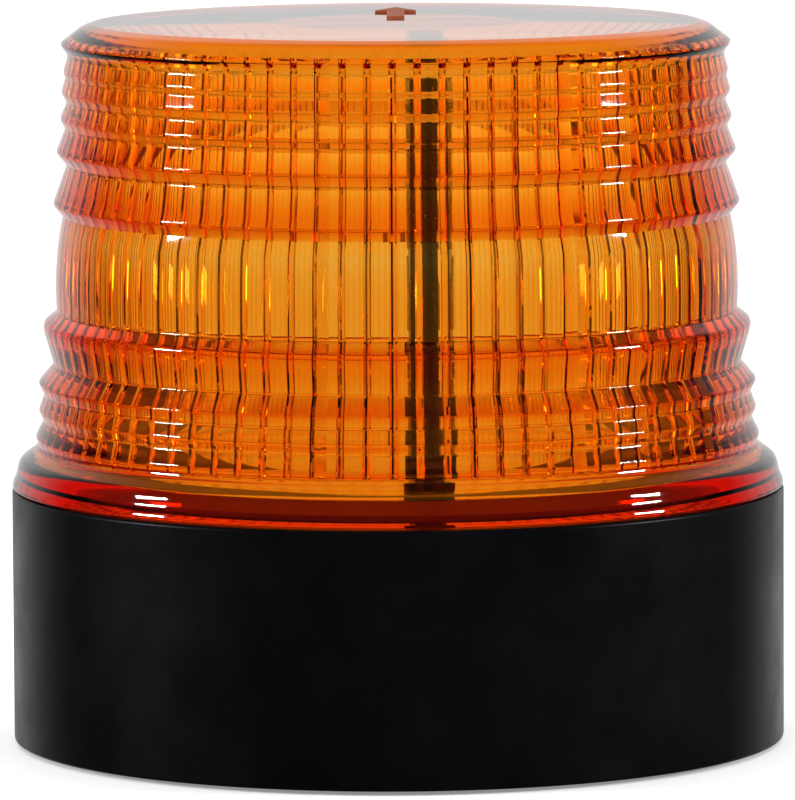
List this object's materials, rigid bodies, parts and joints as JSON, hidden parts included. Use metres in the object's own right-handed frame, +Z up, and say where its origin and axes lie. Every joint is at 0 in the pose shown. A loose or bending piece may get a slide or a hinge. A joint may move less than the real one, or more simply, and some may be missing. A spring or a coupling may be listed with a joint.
{
  "type": "warning beacon light",
  "caption": "Magnetic amber warning beacon with a ribbed, fluted see-through lens, an upright LED board inside and a round black battery base.",
  "frame": {"origin": "centre of the underside of the rubber foot ring, on the surface that the beacon stands on", "axes": "+Z up along the axis of the base and lens, +Y towards the controls at the back, +X along the normal of the LED boards"},
  "size_m": [0.13, 0.13, 0.1216],
  "materials": {
    "black_housing": "fine moulded satin",
    "seal_rubber": "matt",
    "screw_steel": "zinc plated",
    "magnet_plating": "nickel plated",
    "tray_plastic": "moulded",
    "cell_wrap": "shrink wrap",
    "contact_metal": "nickel",
    "deck_reflector": "metallised plastic",
    "board_laminate": "solder mask",
    "component_black": "moulded",
    "capacitor_can": "satin",
    "connector_white": "moulded",
    "button_red": "satin",
    "plunger_white": "moulded",
    "light_pipe": "clear",
    "sink_anodised": "black anodised",
    "led_board_mask": "black solder mask",
    "led_yellow": "phosphor",
    "lead_red": "insulation",
    "lens_amber": "polished, fluted inside"
  },
  "bodies": {
    "base": {"base_shell": "black_housing", "bottom_plate": "black_housing", "bottom_seal": "seal_rubber", "bottom_screws": "screw_steel", "foot_ring": "seal_rubber", "magnet_1": "magnet_plating", "magnet_2": "magnet_plating", "magnet_3": "magnet_plating", "magnet_4": "magnet_plating", "battery_tray": "tray_plastic", "battery_cell_1": "cell_wrap", "battery_cell_2": "cell_wrap", "battery_cell_3": "cell_wrap", "battery_contacts": "contact_metal", "battery_clip": "contact_metal", "tray_screws": "screw_steel", "deck_plate": "deck_reflector", "control_board": "board_laminate", "driver_chips": "component_black", "driver_coil": "component_black", "driver_capacitors": "capacitor_can", "board_connectors": "connector_white", "board_screws": "screw_steel", "switch_board": "board_laminate", "power_switch": "component_black", "mode_switch": "component_black", "switch_screws": "screw_steel", "charge_socket": "component_black", "socket_nut": "screw_steel", "cover_pin": "screw_steel", "charge_light": "light_pipe", "tower_foot": "tray_plastic", "tower_screws": "screw_steel", "heat_sink": "sink_anodised", "led_board_left": "led_board_mask", "led_board_right": "led_board_mask", "leds_left": "led_yellow", "leds_right": "led_yellow", "plate_screws": "screw_steel", "wire_grommet": "seal_rubber", "tower_leads": "lead_red", "battery_leads": "lead_red", "switch_leads": "lead_red", "charge_leads": "lead_red"},
    "lens_lift": {"lens_seal": "seal_rubber"},
    "lens": {"lens": "lens_amber"},
    "power_button": {"power_button": "button_red", "power_plunger": "plunger_white"},
    "mode_button": {"mode_button": "button_red", "mode_plunger": "plunger_white"},
    "port_cover": {"port_cover": "seal_rubber"}
  },
  "joints": [
    {"name": "lens_rise", "type": "slide", "parent": "base", "child": "lens_lift", "axis": [0, 0, 1], "range_m": [0, 0.002]},
    {"name": "lens_turn", "type": "hinge", "parent": "lens_lift", "child": "lens", "pos_m": [0, 0, 0.043], "axis": [0, 0, 1], "range_deg": [0, 45]},
    {"name": "power_button_press", "type": "slide", "parent": "base", "child": "power_button", "axis": [0, -1, 0], "range_m": [0, 0.0012], "stiffness_N_per_m": 800, "springref_m": -0.001},
    {"name": "mode_button_press", "type": "slide", "parent": "base", "child": "mode_button", "axis": [0, -1, 0], "range_m": [0, 0.0012], "stiffness_N_per_m": 800, "springref_m": -0.001},
    {"name": "port_cover_swing", "type": "hinge", "parent": "base", "child": "port_cover", "pos_m": [0.012, 0.0625, 0.0123], "axis": [-1, 0, 0], "range_deg": [0, 90]}
  ],
  "couplings": [
    {"joint": "lens_rise", "follows": "lens_turn", "m_per_rad": 0.0025465}
  ]
}
